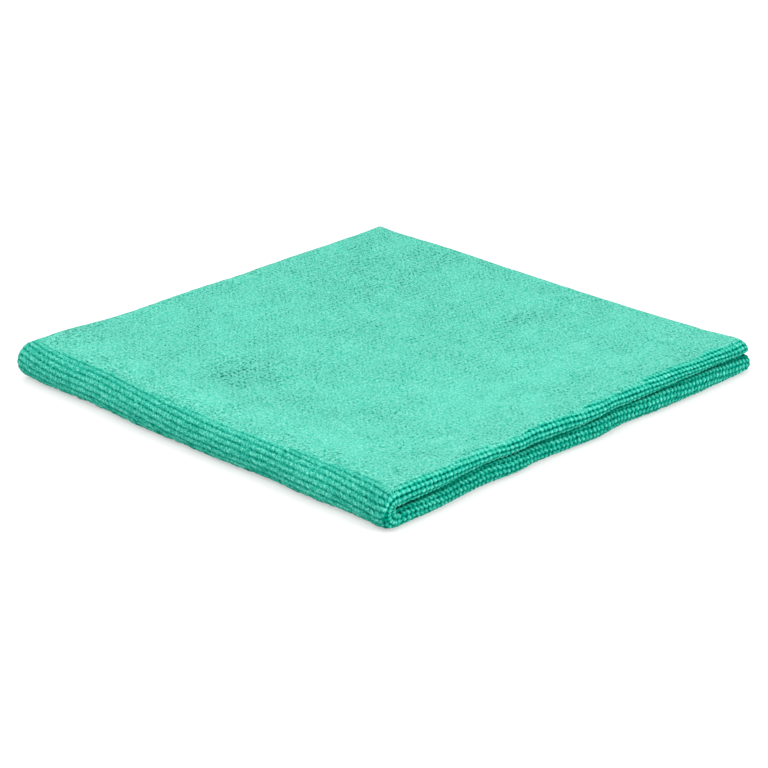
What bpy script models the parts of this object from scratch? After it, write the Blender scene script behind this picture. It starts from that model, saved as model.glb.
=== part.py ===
"""A square microfibre cloth, folded in quarters and lying on a flat surface.

The cloth is one sheet with two coordinates, u along its length and v along its width, both 0 on the lines
where it is folded. The first fold runs along v = 0: it lays the half with v < 0 under the half with v > 0 and
becomes the -Y side. The second fold runs along u = 0: it lays the half with u < 0 under the half with u > 0,
takes both layers with it and becomes the -X side. Four layers lie on each other, and their edges meet at the
+X and +Y sides.

Lengths are millimetres, and MM turns them into metres where points are placed.
"""
import math
from collections import namedtuple

import bmesh
import bpy

MM = 0.001

# The sheet before it is folded
LENGTH = 403.0              # along u
WIDTH = 394.0               # along v
THICKNESS = 2.95
EDGE_ROUND = 1.2            # the edges thin out over this width

# The first fold, along the -Y side
FIRST_SHIFT = 0.6           # the outer half is longer by twice this
FIRST_RADIUS = 2.0          # of the sheet's middle surface
FIRST_TURN = FIRST_RADIUS * math.pi / 2     # sheet taken up by half of the turn
FIRST_SETTLE = 20.0         # beyond this the two layers lie flat on each other
LAYER_GAP = 0.35            # between the two layers of a pair
FIRST_FOLD_Y = -95.14       # where the turn starts

# The second fold, along the -X side
SECOND_SHIFT = 0.8          # the lower half is longer by twice this
SECOND_RADIUS = 3.8         # of the pair's middle surface
SECOND_TURN = SECOND_RADIUS * math.pi / 2
SECOND_SETTLE = 34.0
PAIR_GAP = 0.35             # between the upper and the lower pair
SECOND_FOLD_X = -94.67      # where the turn starts
SLIP = 0.35                 # share of the outer layer's longer way round that its edge falls short by

# Knit ribs on the outside of the second fold, and rows of loops on the outside of the first
RIB_HEIGHT = 0.50
RIBS_ROUND_FOLD = 9
RIB_PITCH = 2.6             # on the top beside the fold
RIBS_ON_TOP = 5
ROW_HEIGHT = 0.40
ROWS_ROUND_FOLD = 5
ROW_PITCH = 2.1
ROWS_ON_TOP = 3

# How finely the sheet is divided
STEPS_PER_RIDGE = 2
FLAT_STEPS_ALONG = 14
FLAT_STEPS_ACROSS = 11
FLAT_GROWTH = 1.1           # steps grow away from a fold
EDGE_STEPS = (1.0, 0.5, 0.14, 0.0)
WELD = 0.00001              # metres; the two faces share their points along the edges
SHARP_ANGLE = math.radians(24)              # edges sharper than this show as creases

# Hollows and swells of the upper layers: the place, how far each reaches, and how much the top rises
Swell = namedtuple("Swell", "x y reach_x reach_y rise")
SWELLS = (
    Swell(-80, 28, 12, 42, 0.50),       # roll beside the second fold
    Swell(-74, 88, 13, 24, 0.80),
    Swell(-72, -38, 13, 26, 0.50),
    Swell(-58, 18, 14, 14, -0.70),      # hollow behind the roll
    Swell(-50, -43, 13, 11, -0.35),
    Swell(-40, 96, 14, 16, -0.40),
    Swell(-20, -80, 42, 13, 0.45),      # roll beside the first fold
    Swell(54, -78, 34, 13, 0.40),
    Swell(60, -18, 15, 12, -0.45),
    Swell(-14, 60, 32, 20, 0.30),
    Swell(14, 98, 12, 16, -0.40),
    Swell(54, 58, 30, 26, -0.35),
    Swell(98, 56, 14, 26, 0.55),
    Swell(96, -76, 12, 18, 0.45),
    Swell(100, 97, 6, 6, 0.50),         # lifted corner
)

# How far the slit between the two pairs wanders up and down along the first fold
Slit = namedtuple("Slit", "x rise")
SLIT = (
    Slit(-100, -0.2),
    Slit(-84, 0.0),
    Slit(-60, 0.5),
    Slit(-45, 0.8),
    Slit(-6, -0.1),
    Slit(18, 0.9),
    Slit(30, 0.2),
    Slit(48, 1.1),
    Slit(71, 1.2),
    Slit(103, -0.1),
)
SLIT_REACH = 38.0           # how far in from the fold it still wanders
STACK = 13.0                # height over which the unevenness grows from nothing to its full size

# How far the sides stand out past a true square, in plan, by the place along them
Side = namedtuple("Side", "along out")
SECOND_SIDE = (Side(-100, 0.7), Side(-80, -0.1), Side(-60, 0.7), Side(-40, 0.0), Side(-10, 1.1), Side(30, 1.2),
               Side(55, -0.2), Side(85, 0.3), Side(98, -0.4))
FIRST_SIDE = (Side(-100, 0.2), Side(-75, 0.2), Side(-50, -1.4), Side(-32, -0.4), Side(-20, -1.4), Side(12, 0.4),
              Side(28, -1.0), Side(50, 0.4), Side(66, 0.6), Side(102, 0.0))

# The end of the second fold at the +Y side is drawn up off the surface
FOLD_END_LIFT = 0.6
FOLD_END_REACH_X = 7.0
FOLD_END_REACH_Y = 9.0

# At its +X end the slit opens, as the two pairs part
GAPE = 0.8                  # up for the upper pair and down for the lower
GAPE_END_X = 103.0
GAPE_REACH_X = 7.0
GAPE_REACH_Y = 9.0

CLOTH_COLOUR = (0.155, 0.690, 0.540, 1.0)
CLOTH_ROUGHNESS = 0.92


def ease(share):
    """Fall smoothly from 1 at share 0 to 0 at share 1."""
    share = min(max(share, 0.0), 1.0)
    return 1 - share * share * (3 - 2 * share)


def along_table(table, place):
    """Value of a table of (place, value) lines at a place, easing from line to line."""
    if place <= table[0][0]:
        return table[0][1]
    for (start, low), (end, high) in zip(table, table[1:]):
        if place <= end:
            return high + (low - high) * ease((place - start) / (end - start))
    return table[-1][1]


def ridge(turns, height):
    """Height of a ridge above and below the face, with crests at whole turns."""
    return height / 2 * math.cos(2 * math.pi * turns)


def upper_share(u):
    """0 on the lower pair of layers and 1 on the upper, changing over round the second fold."""
    return 1 - ease((u / SECOND_TURN + 1) / 2)


def ribs(u, v):
    """Knit ribs that run along the second fold, on the outside of its turn and of the top beside it."""
    turns = (u / SECOND_TURN) * RIBS_ROUND_FOLD / 2
    fade = ease(-2 * u / SECOND_TURN - 1)
    if u > SECOND_TURN:
        count = (u - SECOND_TURN) / RIB_PITCH
        turns = count + RIBS_ROUND_FOLD / 2
        fade = ease(count / RIBS_ON_TOP)
    outer_layer = 1 - ease(v / FIRST_TURN)
    return ridge(turns, RIB_HEIGHT) * fade * outer_layer


def rows(u, v):
    """Rows of loops that run along the first fold, on the outside of its turn and of the top beside it."""
    turns = (v / FIRST_TURN) * ROWS_ROUND_FOLD / 2
    fade = ease(2 * abs(v) / FIRST_TURN - 1)
    if v > 0:
        fade += (1 - fade) * upper_share(u)
    if v > FIRST_TURN:
        count = (v - FIRST_TURN) / ROW_PITCH
        turns = count + ROWS_ROUND_FOLD / 2
        fade = ease(count / ROWS_ON_TOP) * upper_share(u)
    return ridge(turns, ROW_HEIGHT) * fade


def first_fold(v, offset):
    """Section across the first fold: y, the height above the pair's middle, and the pair's half thickness."""
    if abs(v) < FIRST_TURN:
        angle = v / FIRST_RADIUS
        radius = FIRST_RADIUS + offset
        return -radius * math.cos(angle), radius * math.sin(angle), FIRST_RADIUS + THICKNESS / 2
    run = abs(v) - FIRST_TURN
    flat = (THICKNESS + LAYER_GAP) / 2
    middle = flat + (FIRST_RADIUS - flat) * ease(run / FIRST_SETTLE)
    return run, math.copysign(middle + offset, v), middle + THICKNESS / 2


def second_fold(u, rise, half):
    """Section across the second fold: x and z of a point that lies rise above its pair's middle."""
    if abs(u) < SECOND_TURN:
        angle = u / SECOND_RADIUS
        radius = SECOND_RADIUS + rise
        return -radius * math.cos(angle), SECOND_RADIUS + half + radius * math.sin(angle)
    run = abs(u) - SECOND_TURN
    flat = half + PAIR_GAP / 2
    middle = flat + (SECOND_RADIUS - flat) * ease(run / SECOND_SETTLE)
    slip = SLIP * rise * math.pi / 2 * run / (LENGTH / 2)
    return run - slip, middle + half + math.copysign(middle + rise, u)


def uneven(x, y, z, pair):
    """Shift a point of the evenly folded cloth to where the real one lies; pair is 1 for the upper and -1 for
    the lower pair of layers."""
    level = z / STACK
    rise = 0.0
    for swell in SWELLS:
        away = ((x - swell.x) / swell.reach_x) ** 2 + ((y - swell.y) / swell.reach_y) ** 2
        rise += swell.rise * math.exp(-away)
    slit = along_table(SLIT, x) * ease((y - FIRST_FOLD_Y) / SLIT_REACH)
    lift_x = (x - SECOND_FOLD_X + SECOND_RADIUS * 2) / FOLD_END_REACH_X
    lift_y = (WIDTH / 4 - y) / FOLD_END_REACH_Y
    lift = FOLD_END_LIFT * ease(lift_x) * ease(lift_y) * max(1 - level, 0.0)
    inwards_x = (x - SECOND_FOLD_X) / (LENGTH / 2)
    inwards_y = (y - FIRST_FOLD_Y) / (WIDTH / 2)
    out_x = along_table(SECOND_SIDE, y) * ease(inwards_x)
    out_y = along_table(FIRST_SIDE, x) * ease(inwards_y)
    gape = pair * GAPE * ease((GAPE_END_X - x) / GAPE_REACH_X) * ease((y - FIRST_FOLD_Y) / GAPE_REACH_Y)
    middle_share = max(4 * level * (1 - level), 0.0)
    return x - out_x, y - out_y, z + rise * level + (slit + gape) * middle_share + lift


def edge_share(u, v):
    """Share of the full thickness, 0 on the sheet's edges and 1 away from them."""
    share = 1.0
    for place, end, shift in ((u, LENGTH / 2, -SECOND_SHIFT), (v, WIDTH / 2, FIRST_SHIFT)):
        inside = end - abs(place - shift)
        depth = min(max(1 - inside / EDGE_ROUND, 0.0), 1.0)
        share *= math.sqrt(1 - depth * depth)
    return share


def cloth_point(u, v, face):
    """Place of a point of the sheet, in metres; face is 1 on the outside of both folds and -1 on the inside."""
    offset = face * THICKNESS / 2
    if face > 0:
        offset += ribs(u, v) + rows(u, v)
    offset *= edge_share(u, v)
    y, rise, half = first_fold(v, offset)
    x, z = second_fold(u, rise, half)
    x, y, z = uneven(x + SECOND_FOLD_X, y + FIRST_FOLD_Y, z, math.copysign(1, u))
    return x * MM, y * MM, max(z, 0.0) * MM


def places_on_half(turn, ridges, end, pitch, ridges_beside, flat_steps):
    """Places along half of the sheet, from the middle of a fold to the edge at end."""
    turn_steps = ridges * STEPS_PER_RIDGE // 2
    places = [turn * step / turn_steps for step in range(turn_steps + 1)]
    beside = ridges_beside * STEPS_PER_RIDGE
    places += [turn + pitch / STEPS_PER_RIDGE * (step + 1) for step in range(beside)]
    start = places[-1]
    reach = end - EDGE_ROUND - start
    places += [start + reach * (step / flat_steps) ** FLAT_GROWTH for step in range(1, flat_steps)]
    return places + [end - EDGE_ROUND * share for share in EDGE_STEPS]


def places_across(turn, ridges, length, shift, pitch, ridges_beside, flat_steps):
    """Places along the whole sheet, from its lower or inner edge over the fold to its upper or outer edge."""
    upper = places_on_half(turn, ridges, length / 2 + shift, pitch, ridges_beside, flat_steps)
    lower = places_on_half(turn, ridges, length / 2 - shift, pitch, 0, flat_steps)
    return [-place for place in reversed(lower[1:])] + upper


def add_face(mesh, face, places_u, places_v):
    """Add one face of the sheet as a grid laid over the folded form."""
    columns = len(places_u)
    grid = bmesh.ops.create_grid(mesh, x_segments=columns - 1, y_segments=len(places_v) - 1, size=1)
    for index, vert in enumerate(grid["verts"]):
        row, column = divmod(index, columns)
        vert.co = cloth_point(places_u[column], places_v[row], face)


def cloth_material():
    """Matt mint-green microfibre."""
    material = bpy.data.materials.new("microfibre")
    material.use_nodes = True
    shader = material.node_tree.nodes["Principled BSDF"]
    shader.inputs["Base Color"].default_value = CLOTH_COLOUR
    shader.inputs["Roughness"].default_value = CLOTH_ROUGHNESS
    shader.inputs["Metallic"].default_value = 0.0
    material.diffuse_color = CLOTH_COLOUR
    return material


def build_cloth(collection):
    """The folded cloth: an outer and an inner grid, joined along the sheet's edges."""
    places_u = places_across(SECOND_TURN, RIBS_ROUND_FOLD, LENGTH, -SECOND_SHIFT, RIB_PITCH, RIBS_ON_TOP,
                             FLAT_STEPS_ALONG)
    places_v = places_across(FIRST_TURN, ROWS_ROUND_FOLD, WIDTH, FIRST_SHIFT, ROW_PITCH, ROWS_ON_TOP,
                             FLAT_STEPS_ACROSS)
    shape = bmesh.new()
    add_face(shape, 1, places_u, places_v)
    add_face(shape, -1, places_u, places_v)
    bmesh.ops.remove_doubles(shape, verts=shape.verts[:], dist=WELD)
    bmesh.ops.recalc_face_normals(shape, faces=shape.faces[:])
    mesh = bpy.data.meshes.new("cloth")
    shape.to_mesh(mesh)
    shape.free()
    mesh.shade_smooth()
    mesh.set_sharp_from_angle(angle=SHARP_ANGLE)
    mesh.materials.append(cloth_material())
    collection.objects.link(bpy.data.objects.new("cloth", mesh))


def main():
    for leftover in list(bpy.data.objects):
        bpy.data.objects.remove(leftover)
    collection = bpy.data.collections.new("microfibre_cloth")
    bpy.context.scene.collection.children.link(collection)
    build_cloth(collection)


main()
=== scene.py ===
"""Looks of a square microfibre cloth, folded in quarters and lying on a pale floor.

The cloth's solid gives way to one closed mesh on the same folds. Its sheet has two coordinates, u along its
length and v along its width, both 0 on the folds, in millimetres. The knit's ribs, stitches and loops are
raised in the mesh along both folds, and pile covers the rest.
"""
import math
from collections import namedtuple

import bpy
import numpy as np
from mathutils import Matrix, Vector


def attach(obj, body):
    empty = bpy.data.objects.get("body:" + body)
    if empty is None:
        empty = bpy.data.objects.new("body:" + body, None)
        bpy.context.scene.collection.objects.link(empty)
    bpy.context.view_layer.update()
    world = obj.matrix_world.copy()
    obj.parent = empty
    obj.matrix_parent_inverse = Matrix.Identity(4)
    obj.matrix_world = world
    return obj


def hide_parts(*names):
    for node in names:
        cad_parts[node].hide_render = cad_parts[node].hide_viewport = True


MM = 0.001

# The sheet and its two folds, as in the solid
LENGTH = 403.0              # along u
WIDTH = 394.0               # along v
THICKNESS = 2.95
EDGE_ROUND = 1.2            # the edges thin out over this width
FIRST_SHIFT = 0.6           # the outer half is longer by twice this
FIRST_RADIUS = 2.0          # of the sheet's middle surface round the fold
FIRST_TURN = FIRST_RADIUS * math.pi / 2         # from the fold's middle to its end
FIRST_SETTLE = 20.0         # beyond the fold the two layers draw together over this length
LAYER_GAP = 0.35
FIRST_FOLD_Y = -95.14       # where the fold ends
SECOND_SHIFT = 0.8          # the lower half is longer by twice this
SECOND_RADIUS = 3.8         # of the pair's middle round the fold
SECOND_TURN = SECOND_RADIUS * math.pi / 2
SECOND_SETTLE = 34.0
PAIR_GAP = 0.35
SECOND_FOLD_X = -94.67
SLIP = 0.35                 # share of the outer layer's longer way round that its edge falls short by

# Hollows and swells of the upper layers, as in the solid
Swell = namedtuple("Swell", "x y reach_x reach_y rise")
SWELLS = (
    Swell(-80, 28, 12, 42, 0.50),
    Swell(-74, 88, 13, 24, 0.80),
    Swell(-72, -38, 13, 26, 0.50),
    Swell(-58, 18, 14, 14, -0.70),
    Swell(-50, -43, 13, 11, -0.35),
    Swell(-40, 96, 14, 16, -0.40),
    Swell(-20, -80, 42, 13, 0.45),
    Swell(54, -78, 34, 13, 0.40),
    Swell(60, -18, 15, 12, -0.45),
    Swell(-14, 60, 32, 20, 0.30),
    Swell(14, 98, 12, 16, -0.40),
    Swell(54, 58, 30, 26, -0.35),
    Swell(98, 56, 14, 26, 0.55),
    Swell(96, -76, 12, 18, 0.45),
    Swell(100, 97, 6, 6, 0.50),
)

# How high the slit between the two rolls of the first fold lies along it, and how far the sides stand out
Slit = namedtuple("Slit", "x rise")
SLIT = (Slit(-100, -0.2), Slit(-84, 0.0), Slit(-60, 0.5), Slit(-45, 0.8), Slit(-6, -0.1), Slit(18, 0.9),
        Slit(30, 0.2), Slit(48, 1.1), Slit(71, 1.2), Slit(103, -0.1))
SLIT_REACH = 38.0
STACK = 13.0                # height of the evenly folded layers
Side = namedtuple("Side", "along out")
SECOND_SIDE = (Side(-100, 0.7), Side(-80, -0.1), Side(-60, 0.7), Side(-40, 0.0), Side(-10, 1.1),
               Side(30, 1.2), Side(55, -0.2), Side(85, 0.3), Side(98, -0.4))
FIRST_SIDE = (Side(-100, 0.2), Side(-75, 0.2), Side(-50, -1.4), Side(-32, -0.4), Side(-20, -1.4),
              Side(12, 0.4), Side(28, -1.0), Side(50, 0.4), Side(66, 0.6), Side(102, 0.0))
FOLD_END_LIFT = 0.6         # of the second fold's underside at its far end
FOLD_END_REACH_X = 7.0
FOLD_END_REACH_Y = 9.0
GAPE = 0.8                  # of the two rolls at the first fold's far end
GAPE_END_X = 103.0
GAPE_REACH_X = 7.0
GAPE_REACH_Y = 9.0
SLIT_END_BULGE = 1.1        # of the second fold into the slit's inner end
SLIT_END_REACH = 6.0
SLIT_END_V = 1.6

# The knit: one stitch is one rib wide and one row long
RIBS_ROUND_FOLD = 9
RIB_PITCH = 2.4             # beside the second fold
RIBS_BESIDE = 4
RIB_PITCH_FAR = 2.12        # on the rest of the sheet
ROWS_ROUND_FOLD = 5
ROW_PITCH = 2.3             # beside the first fold
ROWS_BESIDE = 3
ROW_PITCH_FAR = 2.75
RIB_DRIFT = -0.021          # ribs per millimetre of v, because the knit lies a little askew to the folds
ROW_DRIFT = 0.024           # rows per millimetre of u
LEAN_REACH = 3.0            # rows to each side of the first fold in which the loops lean
Lean = namedtuple("Lean", "u shift slant")      # ribs from one row to the next, and ribs within a row
LEANS = (Lean(-22, 0.45, 0.45), Lean(-4, 0.05, 0.35), Lean(10, 0.05, 0.0), Lean(120, 0.05, 0.0),
         Lean(175, 0.35, 0.0))
CREST_RISE = 0.26           # of the ribs and loops over the even surface

# Ribs round the second fold: each is a rope of slanted strokes, the legs of its stitches
Blend = namedtuple("Blend", "base extra")       # a value, and what is added to it at share 1
RIB_DEPTH = 0.95            # of the grooves between ribs
RIB_ROUND = 2.3             # power of a rib's round section
RIB_SIDE = Blend(0.68, 0.20)        # how far a rib falls to its sides, and more in its dashes
STITCH_ROUND = 2.6          # power of a stitch's round shape along its rib
STITCH_END = Blend(0.14, 0.50)      # how far a rib falls between stitches, and more where it is lumpy
STITCH_UNEVEN = Blend(0.08, 0.16)   # rise of one leg over another, and more where it is lumpy
GROOVE_SHADE = Blend(0.70, 0.18)     # how dark the painted shade in the grooves is, and more low down
LEGS_IN_STITCH = 2          # slanted strokes that a stitch shows in a rib
LEG_SLANT = 1.4             # strokes by which a rib's two sides are out of step
STRANDS_IN_LEG = 2          # strands of yarn that a stroke shows
STROKE_DEPTH = 0.16         # of the gaps between a rib's strokes
STROKE_ROUND = 1.2          # power of the gaps' section
LUMPY_REACH = 22.0          # ribs are lumpy this far from the first fold
LUMPY_BY_FIRST = 0.75
RIB_FADE_START = 1.6        # ribs begin to fade this far inside the second fold's end
RIB_FADE = 3.8              # and are gone after this
RIB_FRAY = 2.1              # how unevenly the ribs end
RIB_FADE_STRETCH = 1.9      # places within the second fold count as this much farther inside
LOW_RIB_LOSS = 0.75         # share of the ribs that is lost low down on the second fold

# Loops round the first fold
LOOP_DEPTH = 1.00           # of the dents between loops
LOOP_ROUND = 2.2            # power of a loop's round shape
LOOP_SIDE = Blend(0.58, 0.22)       # how far a loop falls to its sides, and more where it is loose
LOOP_END = Blend(0.88, -0.30)       # how far it falls to its ends, and less where it is loose
LOOP_SHADE = Blend(1.00, 0.18)       # how dark the painted shade in the dents is, and more where the loops are loose
LOOP_PLUMP = 0.16           # rise of plump loops over slack ones
LOOSE_REACH = 14.0          # the lower pair's loops grow loose over this length from the second fold
LOOP_FADE_START = 1.0       # loops begin to fade this far up the top side of the first fold
LOOP_FADE = 3.0             # and are gone after this
LOOP_FADE_CORNER = 0.8      # or after this, where the folds cross
LOOP_FADE_INSIDE = 6.0      # beyond the first fold they fade over this, inside and underneath
LOOP_FRAY = 1.1             # how unevenly the loops end

# Pile and matted tufts
FUZZ_RISE = 0.10            # unevenness of the fibre surface, up and down
FUZZ_ON_PILE = 0.35         # share of it on the flat pile
PILE_RISE = 0.12
MATTED_RISE = 0.22          # of the tufts low down on the second fold
MATTED_GAP = 0.38           # how wide the hollows between tufts are
UNDER_FADE = 4.0            # tufts and painted shade fade out this far under the cloth
HIDDEN_FADE = 10.0          # and the fine unevenness this far
SLIT_SHADOW_FADE = 8.0             # the painted shade of the slit fades out this far between the layers

# Bands that are full at their start and gone at their end
Band = namedtuple("Band", "start end")
RIBS_LOST = Band(-0.6, 0.0)         # round the second fold, from -1 underneath to 1 on top
LUMPY_LOW = Band(-0.8, 0.1)
MATTED_LOW = Band(-0.6, 0.1)
# painted shade in the grooves, stronger low down on the second fold
SHADE_LOW = Band(-0.5, 0.5)
# painted shade at the foot of the second fold, where it meets the floor
SHADE_UNDER_FOLD = Band(-1.0, -0.3)
SLIT_DEEP_SHADOW = Band(0.0, 0.22)         # painted shadow in the slit; round the first fold, from 0 in the slit to 1 at its middle
SLIT_SHADE = Band(0.15, 0.50)       # of the lower roll
SLIT_SHADE_SHARE = 0.45
FOLDS_CROSS = Band(-1.0, 5.0)       # in millimetres from the second fold's end
WORN_BY_SECOND = Band(3.0, 13.0)
WORN_BY_SECOND_SHARE = 0.7
WORN_BY_FIRST = Band(2.0, 12.0)     # in millimetres from the first fold's middle
WORN_BY_FIRST_SHARE = 0.9

# What each thing adds to the depth that a place seems to have, from 0 on pale crests to 1 in dark holes
# the material colours deeper places darker, partly as painted shade in gaps, dents, hollows and creases and
# at the foot of the second fold
DepthAndShade = namedtuple("DepthAndShade", "gap leg lump crest plump tuft between underneath crease")
DEPTH_AND_SHADE = DepthAndShade(gap=0.08, leg=-0.08, lump=-0.06, crest=-0.05, plump=-0.10, tuft=0.26, between=0.30,
                underneath=0.34, crease=0.6)

# Layers of noise, in cells per millimetre of u and v, or per rib and row
Layer = namedtuple("Layer", "per_x per_y share seed")
RIB_WANDER = (Layer(1 / 50, 1 / 34, 0.45, 12), Layer(1 / 5.3, 1 / 9.6, 0.10, 2))
ROW_WANDER = (Layer(1 / 30, 1 / 50, 0.30, 13), Layer(1 / 6.4, 1 / 6.0, 0.12, 3))
DASH_WANDER = (Layer(1 / 1.3, 1 / 2.6, 0.3, 19),)
SECOND_FRAY = (Layer(1 / 5.2, 1 / 15.0, 1.0, 1), Layer(1 / 4.3, 1 / 5.0, 0.6, 10))
FIRST_FRAY = (Layer(1 / 13.0, 1 / 4.0, 1.0, 14), Layer(1 / 4.5, 1 / 3.0, 0.6, 15))
FUZZ = (Layer(4.1, 3.9, 1.0, 6), Layer(7.7, 7.1, 0.6, 7))
SHORT_PILE = (Layer(1 / 1.9, 1 / 1.7, 1.0, 8),)
LONG_PILE = (Layer(1 / 5.2, 1 / 4.4, 0.8, 9),)
TUFTS = (Layer(1.2, 1.3, 0.5, 16), Layer(2.1, 2.5, 0.7, 20))
BETWEEN_TUFTS = (Layer(0.9, 1.0, 1.0, 22),)
LOOP_SEED = 5
LEG_SEED = 17
LUMP_SEED = 18

# Lines on the sheet where the folds cross: v is given at u, with the slopes to each side of it, and the line
# fades out over reach to each side of its middle
Line = namedtuple("Line", "u v slope_below slope_above middle reach width")
LIP = Line(5.0, -0.80, 0.06, 0.06, 6.0, 6.0, 0.30)      # the smooth lip round the slit's inner end
CREASES = (Line(-6.9, -2.05, -0.52, -0.52, -8.4, 2.4, 0.28), Line(-0.8, 1.15, -0.30, 0.0, -1.6, 3.2, 0.28))
LIP_SHARE = 0.9
LIP_RISE = 0.22
LIP_PALE = 0.95             # share of the dark that the lip takes away
CREASE_DEPTH = 0.30

# Lighter and darker places on the top: painted light on its swells and painted shade in its hollows
ShadedPatch = namedtuple("ShadedPatch", "x y reach_x reach_y tone")
SHADED_PATCHES = (
    ShadedPatch(-83, 12, 9, 60, 0.45),
    ShadedPatch(-10, -62, 85, 26, 0.35),
    ShadedPatch(-12, 62, 16, 12, 0.30),
    ShadedPatch(60, 68, 38, 30, -0.35),
    ShadedPatch(-57, 19, 13, 13, -0.85),
    ShadedPatch(-50, -43, 7, 6, -0.60),
    ShadedPatch(-62, -10, 6, 7, -0.60),
    ShadedPatch(60, -18, 9, 6, -0.60),
    ShadedPatch(85, 50, 8, 7, -0.50),
    ShadedPatch(-72, 92, 10, 8, -0.40),
    ShadedPatch(20, 12, 20, 12, -0.25),
)

# How finely the mesh divides the sheet
STEPS = 12                  # finest division of a span
SPANS_IN_SECOND_TURN = 2    # on each side of the fold's middle
SPANS_IN_FIRST_TURN = 1
FLAT_SPANS = 36             # from a fold to the edge
RIB_SPANS = 3               # spans beside the second fold in which ribs are raised
ROW_SPANS = 2               # spans beside the first fold in which rows are raised
TOP_STEPS = 3               # division of a span on the rest of the top
UNDERSIDE_STEPS = 2
CURVED_STEPS = 4            # least division across a rim or round a fold

# The floor, the camera and the light, in metres
FLOOR_REACH = 4.0
TARGET = Vector((-0.01837, -0.01734, 0.00718))
DISTANCE = 0.9915           # from the camera to its target
AZIMUTH = math.radians(-45.738)
ELEVATION = math.radians(22.529)
SENSOR = 36.0               # width in millimetres
LENS = 123.44
WORLD_STRENGTH = 0.50
Softbox = namedtuple("Softbox", "name direction distance size power")      # power in watts
SOFTBOXES = (
    Softbox("overhead", (0.0, 0.15, 1.0), 2.6, 4.5, 63.0),
    Softbox("front", (0.15, -1.0, 0.60), 3.0, 1.8, 40.0),
    Softbox("left", (-1.0, 0.0, 1.2), 3.0, 1.8, 42.0),
)


# ---------------------------------------------------------------- shape of the folds

def ease(share):
    """Fall smoothly from 1 at share 0 to 0 at share 1."""
    share = np.clip(share, 0.0, 1.0)
    return 1 - share * share * (3 - 2 * share)


def fade(value, start, end):
    """Fall smoothly from 1 at the start value to 0 at the end value."""
    return ease((value - start) / (end - start))


def blended(blend, share):
    """A blend's value at a share from 0 to 1."""
    return blend.base + blend.extra * share


def along_table(table, place, column=1):
    """Values in a table's column at places, easing from line to line; the first column holds the places."""
    value = np.full(np.shape(place), float(table[0][column]))
    for before, after in zip(table, table[1:]):
        share = ease((place - before[0]) / (after[0] - before[0]))
        value = np.where(place > before[0], after[column] + (before[column] - after[column]) * share, value)
    return value


def first_fold(v, offset):
    """Section across the first fold: y, the height above the pair's middle, and the pair's half thickness."""
    angle = v / FIRST_RADIUS
    radius = FIRST_RADIUS + offset
    run = np.abs(v) - FIRST_TURN
    flat = (THICKNESS + LAYER_GAP) / 2
    middle = flat + (FIRST_RADIUS - flat) * ease(run / FIRST_SETTLE)
    turning = run < 0
    y = np.where(turning, -radius * np.cos(angle), run)
    rise = np.where(turning, radius * np.sin(angle), np.copysign(middle + offset, v))
    return y, rise, middle + THICKNESS / 2


def second_fold(u, rise, half):
    """Section across the second fold: x and z of points that lie rise above their pair's middle."""
    angle = u / SECOND_RADIUS
    radius = SECOND_RADIUS + rise
    run = np.abs(u) - SECOND_TURN
    flat = half + PAIR_GAP / 2
    middle = flat + (SECOND_RADIUS - flat) * ease(run / SECOND_SETTLE)
    slip = SLIP * rise * math.pi / 2 * run / (LENGTH / 2)
    turning = run < 0
    x = np.where(turning, -radius * np.cos(angle), run - slip)
    z_turning = SECOND_RADIUS + half + radius * np.sin(angle)
    return x, np.where(turning, z_turning, middle + half + np.copysign(middle + rise, u))


def uneven(x, y, z, pair):
    """Shift points of the evenly folded cloth to where the real one lies; pair is 1 for the upper and -1 for
    the lower pair of layers."""
    level = z / STACK
    rise = np.zeros_like(x)
    for swell in SWELLS:
        away = ((x - swell.x) / swell.reach_x) ** 2 + ((y - swell.y) / swell.reach_y) ** 2
        rise += swell.rise * np.exp(-away)
    slit = along_table(SLIT, x) * ease((y - FIRST_FOLD_Y) / SLIT_REACH)
    lift_x = (x - SECOND_FOLD_X + SECOND_RADIUS * 2) / FOLD_END_REACH_X
    lift_y = (WIDTH / 4 - y) / FOLD_END_REACH_Y
    lift = FOLD_END_LIFT * ease(lift_x) * ease(lift_y) * np.maximum(1 - level, 0.0)
    out_x = along_table(SECOND_SIDE, y) * ease((x - SECOND_FOLD_X) / (LENGTH / 2))
    out_y = along_table(FIRST_SIDE, x) * ease((y - FIRST_FOLD_Y) / (WIDTH / 2))
    gape = pair * GAPE * ease((GAPE_END_X - x) / GAPE_REACH_X) * ease((y - FIRST_FOLD_Y) / GAPE_REACH_Y)
    middle_share = np.maximum(4 * level * (1 - level), 0.0)
    return x - out_x, y - out_y, z + rise * level + (slit + gape) * middle_share + lift


def edge_share(u, v):
    """Share of the full thickness, 0 on the sheet's edges and 1 away from them."""
    share = np.ones_like(u)
    for place, end, shift in ((u, LENGTH / 2, -SECOND_SHIFT), (v, WIDTH / 2, FIRST_SHIFT)):
        inside = end - np.abs(place - shift)
        depth = np.clip(1 - inside / EDGE_ROUND, 0.0, 1.0)
        share *= np.sqrt(1 - depth * depth)
    return share


def slit_end(u, v):
    """How far the cloth bulges along x into the slit's inner end, where the two folds cross."""
    bulge = SLIT_END_BULGE * np.exp(-(u / SLIT_END_REACH) ** 2) * ease((v + SLIT_END_V) / SLIT_END_V)
    return bulge * ease((-v - FIRST_TURN) / SLIT_END_REACH)


def folded(u, v, offset):
    """Places, in metres, of points that lie offset above the sheet's middle surface."""
    y, rise, half = first_fold(v, offset * edge_share(u, v))
    x, z = second_fold(u, rise, half)
    x = x + np.where(offset > 0, slit_end(u, v), 0.0)
    x, y, z = uneven(x + SECOND_FOLD_X, y + FIRST_FOLD_Y, z, np.copysign(1.0, u))
    return np.stack((x, y, np.maximum(z, 0.0)), axis=-1) * MM


# ---------------------------------------------------------------- noise

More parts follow.
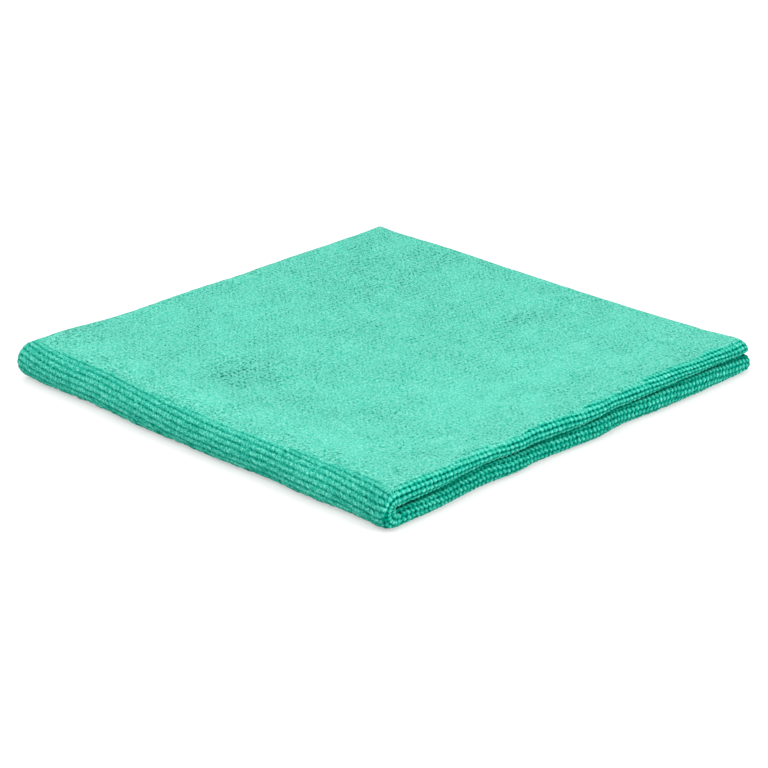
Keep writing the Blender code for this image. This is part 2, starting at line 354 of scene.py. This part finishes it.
def hashed(column, row, seed):
    """Pseudo-random number from 0 to 1 for each cell of a grid."""
    mixed = column.astype(np.int64) * 374761393 + row.astype(np.int64) * 668265263 + seed * 974634777
    mixed = mixed & 0xFFFFFFFF
    mixed = ((mixed ^ (mixed >> 13)) * 1274126177) & 0xFFFFFFFF
    mixed = ((mixed ^ (mixed >> 16)) * 2246822519) & 0xFFFFFFFF
    return ((mixed ^ (mixed >> 15)) & 0xFFFF) / 65535.0


def noise(x, y, seed):
    """Smooth noise from -1 to 1 with features one unit wide."""
    column = np.floor(x)
    row = np.floor(y)
    right = 1 - ease(x - column)
    up = 1 - ease(y - row)
    low = hashed(column, row, seed) * (1 - right) + hashed(column + 1, row, seed) * right
    high = hashed(column, row + 1, seed) * (1 - right) + hashed(column + 1, row + 1, seed) * right
    return (low * (1 - up) + high * up) * 2 - 1


def layered(layers, x, y):
    """Sum of a table's layers of noise."""
    total = np.zeros_like(x)
    for layer in layers:
        total = total + layer.share * noise(x * layer.per_x, y * layer.per_y, layer.seed)
    return total


# ---------------------------------------------------------------- knit

def stitches_from_fold(place, turn, ridges, pitch, beside, far_pitch):
    """How many ribs or rows lie between a fold's middle and a place; crests are at whole numbers."""
    run = np.abs(place) - turn
    near = np.clip(run, 0.0, pitch * beside)
    far = np.maximum(run - pitch * beside, 0.0)
    beyond = ridges / 2 + near / pitch + far / far_pitch
    return np.copysign(np.where(run < 0, np.abs(place) / turn * ridges / 2, beyond), place)


def stitch_places(u, v):
    """Rib and row numbers of places on the sheet, with the knit's wanderings."""
    rib = stitches_from_fold(u, SECOND_TURN, RIBS_ROUND_FOLD, RIB_PITCH, RIBS_BESIDE, RIB_PITCH_FAR)
    row = stitches_from_fold(v, FIRST_TURN, ROWS_ROUND_FOLD, ROW_PITCH, ROWS_BESIDE, ROW_PITCH_FAR)
    rib = rib + RIB_DRIFT * v + layered(RIB_WANDER, u, v)
    row = row + ROW_DRIFT * u + layered(ROW_WANDER, u, v)
    return rib + along_table(LEANS, u) * np.clip(row, -LEAN_REACH, LEAN_REACH), row


def rib_share(u, v):
    """How much of the surface is ribs, from 0 to 1, where the first fold's loops leave it free."""
    beyond = np.abs(u) - SECOND_TURN
    beyond = np.where(beyond < 0, RIB_FADE_STRETCH * beyond, beyond)
    on_top = ease((beyond + RIB_FADE_START + RIB_FRAY * layered(SECOND_FRAY, u, v)) / RIB_FADE)
    return np.where(u < 0, 1 - LOW_RIB_LOSS * fade(u / SECOND_TURN, *RIBS_LOST), on_top)


def loop_share(u, v):
    """How much of the surface is loops, from 0 to 1."""
    at_corner = fade(np.abs(u) - SECOND_TURN, *FOLDS_CROSS)
    fray = LOOP_FRAY * layered(FIRST_FRAY, u, v) * (1 - at_corner)
    on_top = ease((v - LOOP_FADE_START + fray) / (LOOP_FADE - (LOOP_FADE - LOOP_FADE_CORNER) * at_corner))
    inside = ease(np.maximum(np.abs(v) - FIRST_TURN, 0.0) / LOOP_FADE_INSIDE)
    return np.where((v > 0) & (u > -SECOND_TURN), on_top, inside)


def on_line(line, u, v):
    """Share from 1 on a line to 0 away from it."""
    below = np.minimum(u - line.u, 0.0)
    above = np.maximum(u - line.u, 0.0)
    place = line.v + line.slope_below * below + line.slope_above * above
    return np.exp(-((v - place) / line.width) ** 2) * ease(np.abs(u - line.middle) / line.reach)


def loop_relief(u, rib, row):
    """Rise of the loops round the first fold, and depth under their crests."""
    course = np.round(row)
    along = 2 * (row - course)
    slanted = rib + along_table(LEANS, u, 2) * along / 2
    wale = np.round(slanted)
    across = 2 * (slanted - wale)
    plump = hashed(wale, course, LOOP_SEED) - 0.5
    loose = 1 - fade(-u, 0.0, LOOSE_REACH)
    loop = 1 - blended(LOOP_SIDE, loose) * np.abs(across) ** LOOP_ROUND
    loop = loop - blended(LOOP_END, loose) * np.abs(along) ** LOOP_ROUND
    loop = np.sqrt(np.clip(loop, 0.0, 1.0))
    rise = CREST_RISE - LOOP_DEPTH * (1 - loop) + LOOP_PLUMP * plump
    # the dents between loops are darkened as painted shade
    return rise, blended(LOOP_SHADE, loose) * (1 - loop) + DEPTH_AND_SHADE.plump * plump


def rib_relief(u, v, rib, row):
    """Rise of the ribs round the second fold, and depth under their crests."""
    round_fold = u / SECOND_TURN        # -1 underneath and 1 on top
    lumpy = np.maximum(LUMPY_BY_FIRST * fade(v, 0.0, LUMPY_REACH), fade(round_fold, *LUMPY_LOW))
    wale = np.round(rib)
    across = 2 * (rib - wale)
    stroke = LEGS_IN_STITCH * row - LEG_SLANT * across / 2
    stitch = stroke / LEGS_IN_STITCH
    along = 2 * (stitch - np.round(stitch))
    leg = hashed(wale, np.round(stroke), LEG_SEED) - 0.5
    lump = hashed(wale, np.round(stitch), LUMP_SEED) - 0.5
    dash = 0.5 + 0.5 * np.cos(2 * math.pi * (row + layered(DASH_WANDER, rib, row)))
    gap = (0.5 - 0.5 * np.cos(2 * math.pi * stroke)) ** STROKE_ROUND
    rope = 1 - blended(RIB_SIDE, dash) * np.abs(across) ** RIB_ROUND
    rope = rope - blended(STITCH_END, lumpy) * np.abs(along) ** STITCH_ROUND
    rope = np.sqrt(np.clip(rope, 0.0, 1.0))
    rise = CREST_RISE - RIB_DEPTH * (1 - rope) - STROKE_DEPTH * gap
    rise = rise + blended(STITCH_UNEVEN, lumpy) * (leg + lump)
    # painted shade in the grooves, stronger low down on the fold
    depth = blended(GROOVE_SHADE, fade(round_fold, *SHADE_LOW)) * (1 - rope)
    return rise, depth + DEPTH_AND_SHADE.gap * gap + DEPTH_AND_SHADE.leg * leg + DEPTH_AND_SHADE.lump * lump + DEPTH_AND_SHADE.crest


def matted_relief(u, rib, row, first):
    """Rise of the tufts low down on the second fold, and how much deeper their hollows and the painted shade
    under the fold lie."""
    round_fold = u / SECOND_TURN
    by_fold = fade(-u, SECOND_TURN, SECOND_TURN + UNDER_FADE) * (1 - first)
    matted = fade(round_fold, *MATTED_LOW) * by_fold
    tufts = layered(TUFTS, rib, row) * matted
    between = ease(np.abs(layered(BETWEEN_TUFTS, rib, row)) / MATTED_GAP) * matted
    underneath = fade(round_fold, *SHADE_UNDER_FOLD) * by_fold
    # painted shade in the hollows between tufts and at the foot of the fold
    depth = DEPTH_AND_SHADE.tuft * tufts + DEPTH_AND_SHADE.between * between + DEPTH_AND_SHADE.underneath * underneath
    return MATTED_RISE * (tufts - between), depth


def pile_rise(u, rib, row, first, second):
    """Rise of the pile and of the fuzz that covers everything, plainer where the cloth lies hidden."""
    pile = 1 - first - second
    shown = np.where(u > 0, 1.0, fade(-u, SECOND_TURN, SECOND_TURN + HIDDEN_FADE))
    fuzz = FUZZ_RISE * layered(FUZZ, rib, row)
    soft = PILE_RISE * (shown * layered(SHORT_PILE, rib, row) + layered(LONG_PILE, rib, row))
    return fuzz * (first + second + FUZZ_ON_PILE * pile * shown) + soft * pile


def painted_slit_shade(u, v):
    """Painted shade of the slit at a place, from 0 to 1; on the lower roll the painted shade reaches a little
    farther out.
    """
    from_slit = v / FIRST_TURN + 1
    shaded = np.where(u < 0, SLIT_SHADE_SHARE * fade(from_slit, *SLIT_SHADE), 0.0)
    return np.maximum(fade(from_slit, *SLIT_DEEP_SHADOW), shaded) * fade(-v, FIRST_TURN, FIRST_TURN + SLIT_SHADOW_FADE)


def worn_pile(u, v):
    """How many stitches show through the pile beside the folds, from 0 to 1."""
    near_first = WORN_BY_FIRST_SHARE * fade(np.abs(v), *WORN_BY_FIRST)
    near_second = WORN_BY_SECOND_SHARE * fade(np.abs(u) - SECOND_TURN, *WORN_BY_SECOND)
    return np.maximum(near_first, near_second)


def knit(u, v, rib, row):
    """Rise of the knit over the even surface, and what the material needs to know of it: the depth under the
    crests from 0 to 1, which the material darkens partly as painted shade, the shares of flat pile and of
    ribs, the painted shade of the slit, and how many stitches show through the pile."""
    first = loop_share(u, v)
    second = rib_share(u, v) * (1 - first)
    loop_rise, loop_depth = loop_relief(u, rib, row)
    rib_rise, rib_depth = rib_relief(u, v, rib, row)
    matted_rise, matted_depth = matted_relief(u, rib, row, first)
    rise = rib_rise * second + loop_rise * first + pile_rise(u, rib, row, first, second) + matted_rise
    depth = rib_depth * second + loop_depth * first + matted_depth

    lip = LIP_SHARE * on_line(LIP, u, v)
    crease = np.maximum(*(on_line(line, u, v) for line in CREASES))
    rise = rise * (1 - lip) + LIP_RISE * lip - CREASE_DEPTH * crease
    # the creases get painted shade
    depth = depth * (1 - LIP_PALE * lip) + DEPTH_AND_SHADE.crease * crease
    pile = np.maximum(1 - first - second, lip)
    return rise, {"depth": np.clip(depth, 0.0, 1.0), "pile": pile, "ribbed": second, "slit_shadow": painted_slit_shade(u, v),
                  "worn": worn_pile(u, v)}


def tone(places):
    """Painted light and shade of the top's swells and hollows at places, given in metres."""
    x, y = places[:, 0] / MM, places[:, 1] / MM
    total = np.zeros_like(x)
    for patch in SHADED_PATCHES:
        away = ((x - patch.x) / patch.reach_x) ** 2 + ((y - patch.y) / patch.reach_y) ** 2
        total += patch.tone * np.exp(-away)
    return total


# ---------------------------------------------------------------- mesh of the cloth

Span = namedtuple("Span", "side kind count start end")      # count runs from the fold to the edge


def half_spans(side, turn, turn_spans, end):
    """Spans of the sheet from a fold's middle to the edge on one side."""
    flat = (end - EDGE_ROUND - turn) / FLAT_SPANS
    marks = [turn * i / turn_spans for i in range(turn_spans)]
    marks += [turn + flat * i for i in range(FLAT_SPANS + 1)] + [end]
    kinds = ["turn"] * turn_spans + ["flat"] * FLAT_SPANS + ["rim"]
    counts = list(range(turn_spans)) + list(range(FLAT_SPANS)) + [0]
    return [Span(side, *line) for line in zip(kinds, counts, marks, marks[1:])]


def spans_across(turn, turn_spans, length, shift):
    """Spans along the whole sheet, from its lower or inner edge to its upper or outer edge."""
    lower = half_spans(-1, turn, turn_spans, length / 2 - shift)
    return lower[::-1] + half_spans(1, turn, turn_spans, length / 2 + shift)


def places_in(spans):
    """Places of the finest lines across the spans."""
    places = []
    for span in spans:
        share = np.arange(STEPS) / STEPS
        if span.side < 0:
            share = 1 - share
        if span.kind == "rim":
            share = 1 - (1 - share) ** 2
        places.extend(span.side * (span.start + (span.end - span.start) * share))
    return np.array(places + [spans[-1].end])


def steps_in(face, along, across):
    """Into how many steps each way the cell between two spans is divided."""
    upper = along.side > 0
    outer = across.side > 0
    fine = across.kind == "turn" or (outer and along.kind == "turn")
    fine = fine or (upper and outer and along.kind == "flat" and along.count < RIB_SPANS)
    fine = fine or (upper and outer and across.kind == "flat" and across.count < ROW_SPANS)
    steps = [1, 1]
    if face < 0:
        fine = False
    elif outer:
        steps = [TOP_STEPS, TOP_STEPS] if upper else [UNDERSIDE_STEPS, UNDERSIDE_STEPS]
    if fine:
        steps = [STEPS, STEPS]
    for index, span in enumerate((along, across)):
        if span.kind == "rim":
            steps[index] = CURVED_STEPS
        elif span.kind == "turn":
            steps[index] = max(steps[index], CURVED_STEPS)
    return steps


def face_cells(face, spans_u, spans_v):
    """First line, last line and stride each way of every cell on one face of the sheet."""
    for i, along in enumerate(spans_u):
        for j, across in enumerate(spans_v):
            steps_u, steps_v = steps_in(face, along, across)
            yield i * STEPS, j * STEPS, STEPS // steps_u, STEPS // steps_v


def used_points(cells, shape):
    """Which crossings of the finest lines are corners of a polygon."""
    used = np.zeros(shape, bool)
    for i, j, stride_u, stride_v in cells:
        used[i:i + STEPS + 1:stride_u, j:j + STEPS + 1:stride_v] = True
    return used


def polygons(cells, used, number):
    """Polygons of one face: each takes in all the points that its neighbours have on its sides."""
    for i0, j0, stride_u, stride_v in cells:
        for i in range(i0, i0 + STEPS, stride_u):
            for j in range(j0, j0 + STEPS, stride_v):
                far_i = i + stride_u
                far_j = j + stride_v
                ring = [(k, j) for k in range(i, far_i)] + [(far_i, k) for k in range(j, far_j)]
                ring += [(k, far_j) for k in range(far_i, i, -1)] + [(i, k) for k in range(far_j, j, -1)]
                yield [number[place] for place in ring if used[place]]


def cloth_mesh():
    """The folded sheet as one closed mesh, with its stitches as a UV map and its relief as attributes."""
    spans_u = spans_across(SECOND_TURN, SPANS_IN_SECOND_TURN, LENGTH, -SECOND_SHIFT)
    spans_v = spans_across(FIRST_TURN, SPANS_IN_FIRST_TURN, WIDTH, FIRST_SHIFT)
    places_u = places_in(spans_u)
    places_v = places_in(spans_v)
    shape = (len(places_u), len(places_v))
    cells = {face: list(face_cells(face, spans_u, spans_v)) for face in (1, -1)}
    used = {face: used_points(cells[face], shape) for face in (1, -1)}
    rim = np.zeros(shape, bool)
    rim[[0, -1], :] = True
    rim[:, [0, -1]] = True
    on_rim = rim & (used[1] | used[-1])
    for face in (1, -1):
        used[face] |= on_rim

    number = {1: np.full(shape, -1), -1: np.full(shape, -1)}
    number[1][used[1]] = np.arange(used[1].sum())
    inner = used[-1] & ~rim
    number[-1][inner] = used[1].sum() + np.arange(inner.sum())
    number[-1][on_rim] = number[1][on_rim]

    grid_u, grid_v = np.meshgrid(places_u, places_v, indexing="ij")
    u, v = grid_u[used[1]], grid_v[used[1]]
    rise, relief = knit(u, v, *stitch_places(u, v))
    outside = folded(u, v, THICKNESS / 2 + rise)
    relief["tone"] = tone(outside)
    u_in, v_in = grid_u[inner], grid_v[inner]
    inside = folded(u_in, v_in, np.full(u_in.shape, -THICKNESS / 2))

    faces = list(polygons(cells[1], used[1], number[1]))
    faces += [polygon[::-1] for polygon in polygons(cells[-1], used[-1], number[-1])]
    mesh = bpy.data.meshes.new("cloth_folded")
    mesh.from_pydata(np.concatenate((outside, inside)).tolist(), [], faces)
    add_surface_data(mesh, np.concatenate((u, u_in)), np.concatenate((v, v_in)), relief)
    mesh.shade_smooth()
    return mesh


def add_surface_data(mesh, u, v, relief):
    """Write the stitch numbers into a UV map and the relief into point attributes."""
    rib, row = stitch_places(u, v)
    corner = np.empty(len(mesh.loops), np.int32)
    mesh.loops.foreach_get("vertex_index", corner)
    layer = mesh.uv_layers.new(name="stitches")
    layer.data.foreach_set("uv", np.stack((rib, row), axis=-1)[corner].astype(np.float32).ravel())
    for name, values in relief.items():
        filled = np.zeros(len(u), np.float32)
        filled[:len(values)] = values
        mesh.attributes.new(name, "FLOAT", "POINT").data.foreach_set("value", filled)


# ---------------------------------------------------------------- materials

class Nodes:
    """Short calls for building a material's nodes."""

    def __init__(self, name):
        self.material = bpy.data.materials.new(name)
        self.material.use_nodes = True
        self.tree = self.material.node_tree
        self.shader = self.tree.nodes["Principled BSDF"]

    def add(self, kind, **settings):
        node = self.tree.nodes.new(kind)
        for key, value in settings.items():
            setattr(node, key, value)
        return node

    def link(self, value, socket):
        if isinstance(value, bpy.types.NodeSocket):
            self.tree.links.new(value, socket)
        else:
            socket.default_value = value

    def math(self, operation, *values, clamp=False):
        node = self.add("ShaderNodeMath", operation=operation, use_clamp=clamp)
        for value, socket in zip(values, node.inputs):
            self.link(value, socket)
        return node.outputs[0]

    def ranged(self, value, low, high, to_low, to_high, smooth):
        kind = "SMOOTHSTEP" if smooth else "LINEAR"
        node = self.add("ShaderNodeMapRange", interpolation_type=kind)
        for name, entry in (("Value", value), ("From Min", low), ("From Max", high), ("To Min", to_low),
                            ("To Max", to_high)):
            self.link(entry, node.inputs[name])
        return node.outputs[0]

    def blend(self, share, first, second, kind="MIX"):
        node = self.add("ShaderNodeMix", data_type="RGBA", blend_type=kind)
        self.link(share, node.inputs[0])
        self.link(first, node.inputs[6])
        self.link(second, node.inputs[7])
        return node.outputs[2]

    def noise(self, vector, size_mm, detail, roughness):
        node = self.add("ShaderNodeTexNoise")
        self.link(vector, node.inputs["Vector"])
        self.link(1 / (size_mm * MM), node.inputs["Scale"])
        self.link(detail, node.inputs["Detail"])
        self.link(roughness, node.inputs["Roughness"])
        return node.outputs["Fac"]


Shade = namedtuple("Shade", "depth colour")
# Colours by depth: the dark ends are painted shade in grooves, dents and holes, and the pale ends of the pile
# are partly painted sheen
PILE_SHADES_WITH_SHEEN = (Shade(0.0, (0.225, 0.655, 0.530, 1.0)), Shade(0.24, (0.060, 0.510, 0.375, 1.0)),
               Shade(0.52, (0.000, 0.300, 0.200, 1.0)), Shade(1.0, (0.000, 0.080, 0.048, 1.0)))
CREST_SHADES = (Shade(0.0, (0.235, 0.830, 0.665, 1.0)), Shade(0.20, (0.055, 0.590, 0.435, 1.0)),
                Shade(0.48, (0.000, 0.310, 0.210, 1.0)), Shade(1.0, (0.000, 0.062, 0.036, 1.0)))

Grain = namedtuple("Grain", "size detail roughness")       # a noise texture, its size in millimetres
FIBRES = Grain(0.65, 3.0, 0.6)
SPECKS = Grain(0.8, 2.0, 0.6)
KNOTS = Grain(1.15, 1.0, 0.5)
CURLS = Grain(1.6, 2.0, 0.5)
DOT_CHANCE = Grain(3.4, 1.0, 0.5)
BRUSHED = Grain(14.0, 2.0, 0.55)
CURL_BEND = 0.9             # stitches by which the curls bend the lines between them
DOT_DEPTH = 0.52            # how much deeper the holes in the pile lie
STRAND_DEPTH = 0.20         # and the gaps between the strands of a rib
SLIT_SHADOW_DETAIL = 0.5           # share of the detail that is left in the painted shade of the slit
SHADING_COVER = 0.6         # how well the pile covers the stitches where the top is painted lighter
SHADING_PALE = 0.06         # and how much paler the painted light makes it, and darker the painted shade

Reading = namedtuple("Reading", "low high to_low to_high smooth")      # what a texture's values stand for
CORNER_DOT = Reading(0.05, 0.25, 1.0, 0.0, True)
STRAND_GAP = Reading(0.05, 0.28, 1.0, 0.0, True)
HOLE_ODDS = Reading(0.34, 0.60, 0.0, 1.0, False)
SPECK = Reading(0.57, 0.64, 0.0, 1.0, False)
FIBRE_DEPTH = Reading(0.36, 0.64, 0.30, -0.02, False)
KNOT_DEPTH = Reading(0.40, 0.60, 0.07, -0.06, False)
STITCHES_SHOWING = Reading(0.35, 0.65, 0.42, 0.88, False)
PATCH_SHADE = Reading(0.3, 0.7, 1.02, 0.98, False)

Bump = namedtuple("Bump", "distance fibres curls dots strands")        # distance in millimetres
BUMP = Bump(0.8, 0.6, 0.6, 0.45, 0.35)


def stitch_frame(nodes):
    """Rib and row numbers at a place of the surface."""
    split = nodes.add("ShaderNodeSeparateXYZ")
    nodes.link(nodes.add("ShaderNodeUVMap", uv_map="stitches").outputs["UV"], split.inputs[0])
    return split.outputs[0], split.outputs[1]


def stitch_corners(nodes, rib, row, bent):
    """How close a place is to the gap between four stitches, from 0 to 1."""
    sides = []
    for number in (rib, row):
        turned = nodes.math("FRACT", nodes.math("ADD", number, bent))
        sides.append(nodes.math("POWER", nodes.math("SUBTRACT", turned, 0.5), 2.0))
    away = nodes.math("SQRT", nodes.math("ADD", *sides))
    return nodes.ranged(away, *CORNER_DOT)


def strand_gaps(nodes, rib, row, bent):
    """How close a place in a rib is to the gap between two slanted strands, from 0 to 1."""
    side = nodes.math("FRACT", nodes.math("ADD", rib, 0.5))
    place = nodes.math("MULTIPLY", row, float(LEGS_IN_STITCH * STRANDS_IN_LEG))
    place = nodes.math("SUBTRACT", place, nodes.math("MULTIPLY", side, LEG_SLANT * STRANDS_IN_LEG))
    turned = nodes.math("FRACT", nodes.math("ADD", place, bent))
    away = nodes.math("ABSOLUTE", nodes.math("SUBTRACT", turned, 0.5))
    return nodes.ranged(away, *STRAND_GAP)


def holes_in_pile(nodes, place, corners, worn, pile):
    """Dark holes where stitches show through the pile, and specks between its fibres, from 0 to 1."""
    chance = nodes.ranged(nodes.noise(place, *DOT_CHANCE), *HOLE_ODDS)
    dots = nodes.math("MULTIPLY", corners, nodes.math("MULTIPLY", chance, worn))
    specks = nodes.ranged(nodes.noise(place, *SPECKS), *SPECK)
    dots = nodes.math("MAXIMUM", dots, nodes.math("MULTIPLY", specks, worn))
    return nodes.math("MULTIPLY", dots, pile)


def depth_of_fibres(nodes, depth, ribbed, slit_shadow, fibres, knots, dots, strands):
    """Depth of a place under the pale ends of the fibres, from 0 to 1, with the finest detail and the painted
    shade of the slit.
    """
    deep = nodes.math("ADD", depth, nodes.ranged(fibres, *FIBRE_DEPTH))
    deep = nodes.math("ADD", deep, nodes.math("MULTIPLY", dots, DOT_DEPTH))
    deep = nodes.math("ADD", deep, nodes.math("MULTIPLY", strands, STRAND_DEPTH))
    deep = nodes.math("ADD", deep, nodes.math("MULTIPLY", knots, ribbed))
    # the painted shade of the slit keeps part of the detail
    shadowed = nodes.math("ADD", slit_shadow, nodes.math("MULTIPLY", deep, SLIT_SHADOW_DETAIL))
    return nodes.math("MAXIMUM", deep, nodes.math("MULTIPLY", shadowed, nodes.math("CEIL", slit_shadow)), clamp=True)


def colour_by_depth(nodes, depth, shades):
    """Colour of the fibres from their pale ends at depth 0 down to the holes between stitches at 1; the
    darkening is partly painted shade, and the pale ends of the pile are partly painted sheen.
    """
    node = nodes.add("ShaderNodeValToRGB")
    elements = node.color_ramp.elements
    for shade in shades[1:-1]:
        elements.new(shade.depth).color = shade.colour
    elements[0].color = shades[0].colour
    elements[-1].color = shades[-1].colour
    nodes.link(depth, node.inputs["Fac"])
    return node.outputs["Color"]


def patchy_colour_with_shading(nodes, colour, patches, painted_shading_share):
    """The colour, a little lighter or darker in patches where the pile is brushed one way or the other, and
    with painted light on the top's swells and painted shade in its hollows.
    """
    shade = nodes.ranged(patches, *PATCH_SHADE)
    shade = nodes.math("ADD", shade, nodes.math("MULTIPLY", painted_shading_share, SHADING_PALE))
    grey = nodes.add("ShaderNodeCombineXYZ")
    for axis in range(3):
        nodes.link(shade, grey.inputs[axis])
    return nodes.blend(1.0, colour, grey.outputs[0], "MULTIPLY")


def fibre_bump(nodes, fibres, curls, dots, strands):
    """Surface normal with the fibres, curls and holes raised or sunk."""
    height = nodes.math("MULTIPLY", fibres, BUMP.fibres)
    height = nodes.math("ADD", height, nodes.math("MULTIPLY", curls, BUMP.curls))
    height = nodes.math("SUBTRACT", height, nodes.math("MULTIPLY", dots, BUMP.dots))
    height = nodes.math("SUBTRACT", height, nodes.math("MULTIPLY", strands, BUMP.strands))
    bump = nodes.add("ShaderNodeBump")
    bump.inputs["Strength"].default_value = 1.0
    bump.inputs["Distance"].default_value = BUMP.distance * MM
    nodes.link(height, bump.inputs["Height"])
    return bump.outputs["Normal"]


def microfibre():
    """Mint-green microfibre: pale fibre ends, partly painted sheen on the pile; darker grooves and holes
    between stitches, partly painted shade; brushed patches; painted light and shade on the top's swells and
    hollows; painted shade in the slit.
    """
    nodes = Nodes("microfibre_knit")
    place = nodes.add("ShaderNodeTexCoord").outputs["Object"]
    # the attributes include the painted shade of the slit and the painted light and shade of the top
    names = ("depth", "pile", "ribbed", "slit_shadow", "worn", "tone")
    depth, pile, ribbed, slit_shadow, worn, painted_shading_share = (
        nodes.add("ShaderNodeAttribute", attribute_name=name).outputs["Fac"] for name in names)
    rib, row = stitch_frame(nodes)
    fibres = nodes.noise(place, *FIBRES)
    curls = nodes.noise(place, *CURLS)
    patches = nodes.noise(place, *BRUSHED)
    knots = nodes.ranged(nodes.noise(place, *KNOTS), *KNOT_DEPTH)
    bent = nodes.math("MULTIPLY", nodes.math("SUBTRACT", curls, 0.5), CURL_BEND)

    showing = nodes.ranged(patches, *STITCHES_SHOWING)
    # the pile hides more stitches where the top is painted lighter, and fewer where it is painted darker
    showing = nodes.math("SUBTRACT", showing, nodes.math("MULTIPLY", painted_shading_share, SHADING_COVER))
    worn = nodes.math("MAXIMUM", worn, showing)
    dots = holes_in_pile(nodes, place, stitch_corners(nodes, rib, row, bent), worn, pile)
    strands = nodes.math("MULTIPLY", strand_gaps(nodes, rib, row, bent), ribbed)
    deep = depth_of_fibres(nodes, depth, ribbed, slit_shadow, fibres, knots, dots, strands)
    crests = colour_by_depth(nodes, deep, CREST_SHADES)
    colour = nodes.blend(pile, crests, colour_by_depth(nodes, deep, PILE_SHADES_WITH_SHEEN))
    nodes.link(patchy_colour_with_shading(nodes, colour, patches, painted_shading_share), nodes.shader.inputs["Base Color"])
    nodes.link(fibre_bump(nodes, fibres, curls, dots, strands), nodes.shader.inputs["Normal"])

    nodes.shader.inputs["Roughness"].default_value = 0.92
    nodes.shader.inputs["Specular IOR Level"].default_value = 0.0
    nodes.shader.inputs["Sheen Weight"].default_value = 0.05
    nodes.shader.inputs["Sheen Roughness"].default_value = 0.30
    nodes.shader.inputs["Sheen Tint"].default_value = (0.80, 1.0, 0.95, 1.0)
    return nodes.material


def floor_material():
    """Plain white, with a faint light of its own that keeps the cloth's shadow soft and evens out the green
    that the cloth reflects."""
    nodes = Nodes("floor_white")
    nodes.shader.inputs["Base Color"].default_value = (0.50, 0.50, 0.50, 1.0)
    nodes.shader.inputs["Roughness"].default_value = 0.9
    nodes.shader.inputs["Specular IOR Level"].default_value = 0.0
    nodes.shader.inputs["Emission Color"].default_value = (1.0, 0.94, 0.95, 1.0)
    nodes.shader.inputs["Emission Strength"].default_value = 0.485
    return nodes.material


# ---------------------------------------------------------------- pieces, floor, light and camera

def add_object(name, data):
    thing = bpy.data.objects.new(name, data)
    bpy.context.scene.collection.objects.link(thing)
    return thing


def build_cloth():
    mesh = cloth_mesh()
    mesh.materials.append(microfibre())
    cloth = add_object("cloth_folded", mesh)
    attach(cloth, "root")
    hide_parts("cloth")


def build_floor():
    reach = FLOOR_REACH
    mesh = bpy.data.meshes.new("floor")
    mesh.from_pydata([(-reach, -reach, 0), (reach, -reach, 0), (reach, reach, 0), (-reach, reach, 0)], [],
                     [(0, 1, 2, 3)])
    mesh.materials.append(floor_material())
    add_object("floor", mesh)


def face_target(thing, target, away, distance):
    """Put a thing at a distance from its target, in the direction away, and turn it to face the target."""
    turn = away.to_track_quat("Z", "Y").to_matrix().to_4x4()
    thing.matrix_world = Matrix.Translation(target + away * distance) @ turn


def build_light():
    world = bpy.data.worlds.new("studio")
    bpy.context.scene.world = world
    world.use_nodes = True
    back = world.node_tree.nodes["Background"]
    back.inputs["Color"].default_value = (1.0, 1.0, 1.0, 1.0)
    back.inputs["Strength"].default_value = WORLD_STRENGTH
    for box in SOFTBOXES:
        light = bpy.data.lights.new(box.name, "AREA")
        light.size = box.size
        light.energy = box.power
        face_target(add_object(box.name, light), Vector(), Vector(box.direction).normalized(), box.distance)
    bpy.context.scene.view_settings.view_transform = "Standard"


def build_camera():
    camera = bpy.data.cameras.new("camera")
    camera.sensor_width = SENSOR
    camera.lens = LENS
    away = Vector((math.sin(AZIMUTH) * math.cos(ELEVATION), -math.cos(AZIMUTH) * math.cos(ELEVATION),
                   math.sin(ELEVATION)))
    view = add_object("camera", camera)
    face_target(view, TARGET, away, DISTANCE)
    bpy.context.scene.camera = view


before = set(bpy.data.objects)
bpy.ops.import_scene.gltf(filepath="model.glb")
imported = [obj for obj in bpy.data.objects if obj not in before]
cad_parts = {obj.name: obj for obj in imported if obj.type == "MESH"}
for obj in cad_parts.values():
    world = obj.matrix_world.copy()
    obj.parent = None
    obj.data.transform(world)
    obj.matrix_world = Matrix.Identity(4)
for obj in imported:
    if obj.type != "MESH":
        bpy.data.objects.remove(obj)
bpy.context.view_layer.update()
build_camera()
build_floor()
build_light()
build_cloth()
